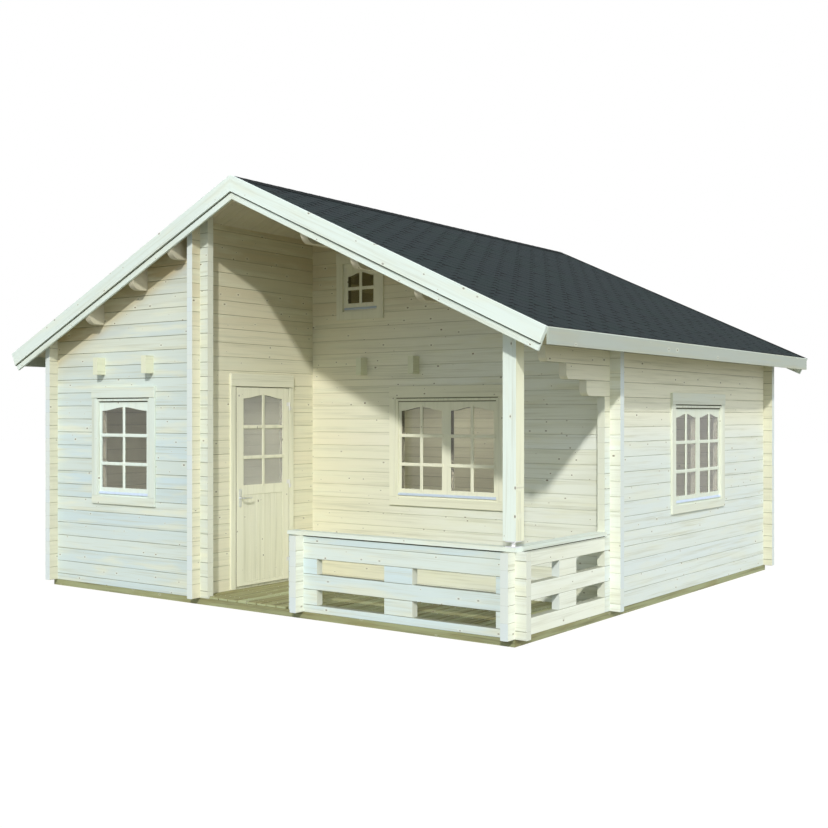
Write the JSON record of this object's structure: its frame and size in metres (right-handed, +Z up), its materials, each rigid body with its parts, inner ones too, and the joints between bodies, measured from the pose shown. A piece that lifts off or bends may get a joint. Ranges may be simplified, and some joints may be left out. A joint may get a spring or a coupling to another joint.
{
  "type": "log cabin",
  "caption": "Log cabin with interlocked corners, gable roof on purlins, a covered corner terrace with railing, glazed windows and a hinged half-glazed door.",
  "frame": {"origin": "at ground level under the middle of the roof's plan", "axes": "+X towards the terrace side's eaves, -Y towards the front gable with the terrace, +Z up"},
  "size_m": [6.396, 5.98, 3.8876],
  "materials": {
    "log_wood": "planed spruce logs with small knots",
    "planed_trim": "planed spruce boards",
    "roof_timber": "planed spruce",
    "impregnated_wood": "green pressure-treated softwood",
    "shingles": "dark slate-grey bitumen shingles",
    "glass": "clear glazing",
    "steel": "satin steel"
  },
  "bodies": {
    "cabin": {"ground_beams": "impregnated_wood", "floor": "roof_timber", "terrace_deck": "impregnated_wood", "left_wall": "log_wood", "front_wall": "log_wood", "door_wall_front": "log_wood", "door_wall_back": "log_wood", "door_wall_over": "log_wood", "recess_wall": "log_wood", "right_wall": "log_wood", "right_wall_top": "log_wood", "back_wall": "log_wood", "roof_boards_left": "roof_timber", "roof_boards_right": "roof_timber", "shingles_left": "shingles", "shingles_right": "shingles", "ridge_cap": "shingles", "verge_front": "planed_trim", "verge_back": "planed_trim", "eaves_left": "planed_trim", "eaves_right": "planed_trim", "ridge_beam": "roof_timber", "purlins_left": "roof_timber", "purlins_right": "roof_timber", "loft_joists": "roof_timber", "front_railing": "log_wood", "side_railing": "log_wood", "railing_stub": "log_wood", "front_cap": "planed_trim", "side_cap": "planed_trim", "corner_post": "log_wood", "post_foot": "steel", "front_window": "planed_trim", "front_casing": "planed_trim", "front_glass": "glass", "terrace_window": "planed_trim", "terrace_casing": "planed_trim", "terrace_glass": "glass", "side_window": "planed_trim", "side_casing": "planed_trim", "side_glass": "glass", "gable_window": "planed_trim", "gable_glass": "glass", "door_frame": "planed_trim", "door_casing": "planed_trim", "hinge_pins": "steel"},
    "door": {"door_leaf": "planed_trim", "door_glass": "glass", "door_lever": "steel", "hinge_barrels": "steel"}
  },
  "joints": [
    {"name": "door_hinge", "type": "hinge", "parent": "cabin", "child": "door", "pos_m": [-0.585, -1.567, 0], "axis": [0, 0, 1], "range_deg": [0, 105]}
  ]
}
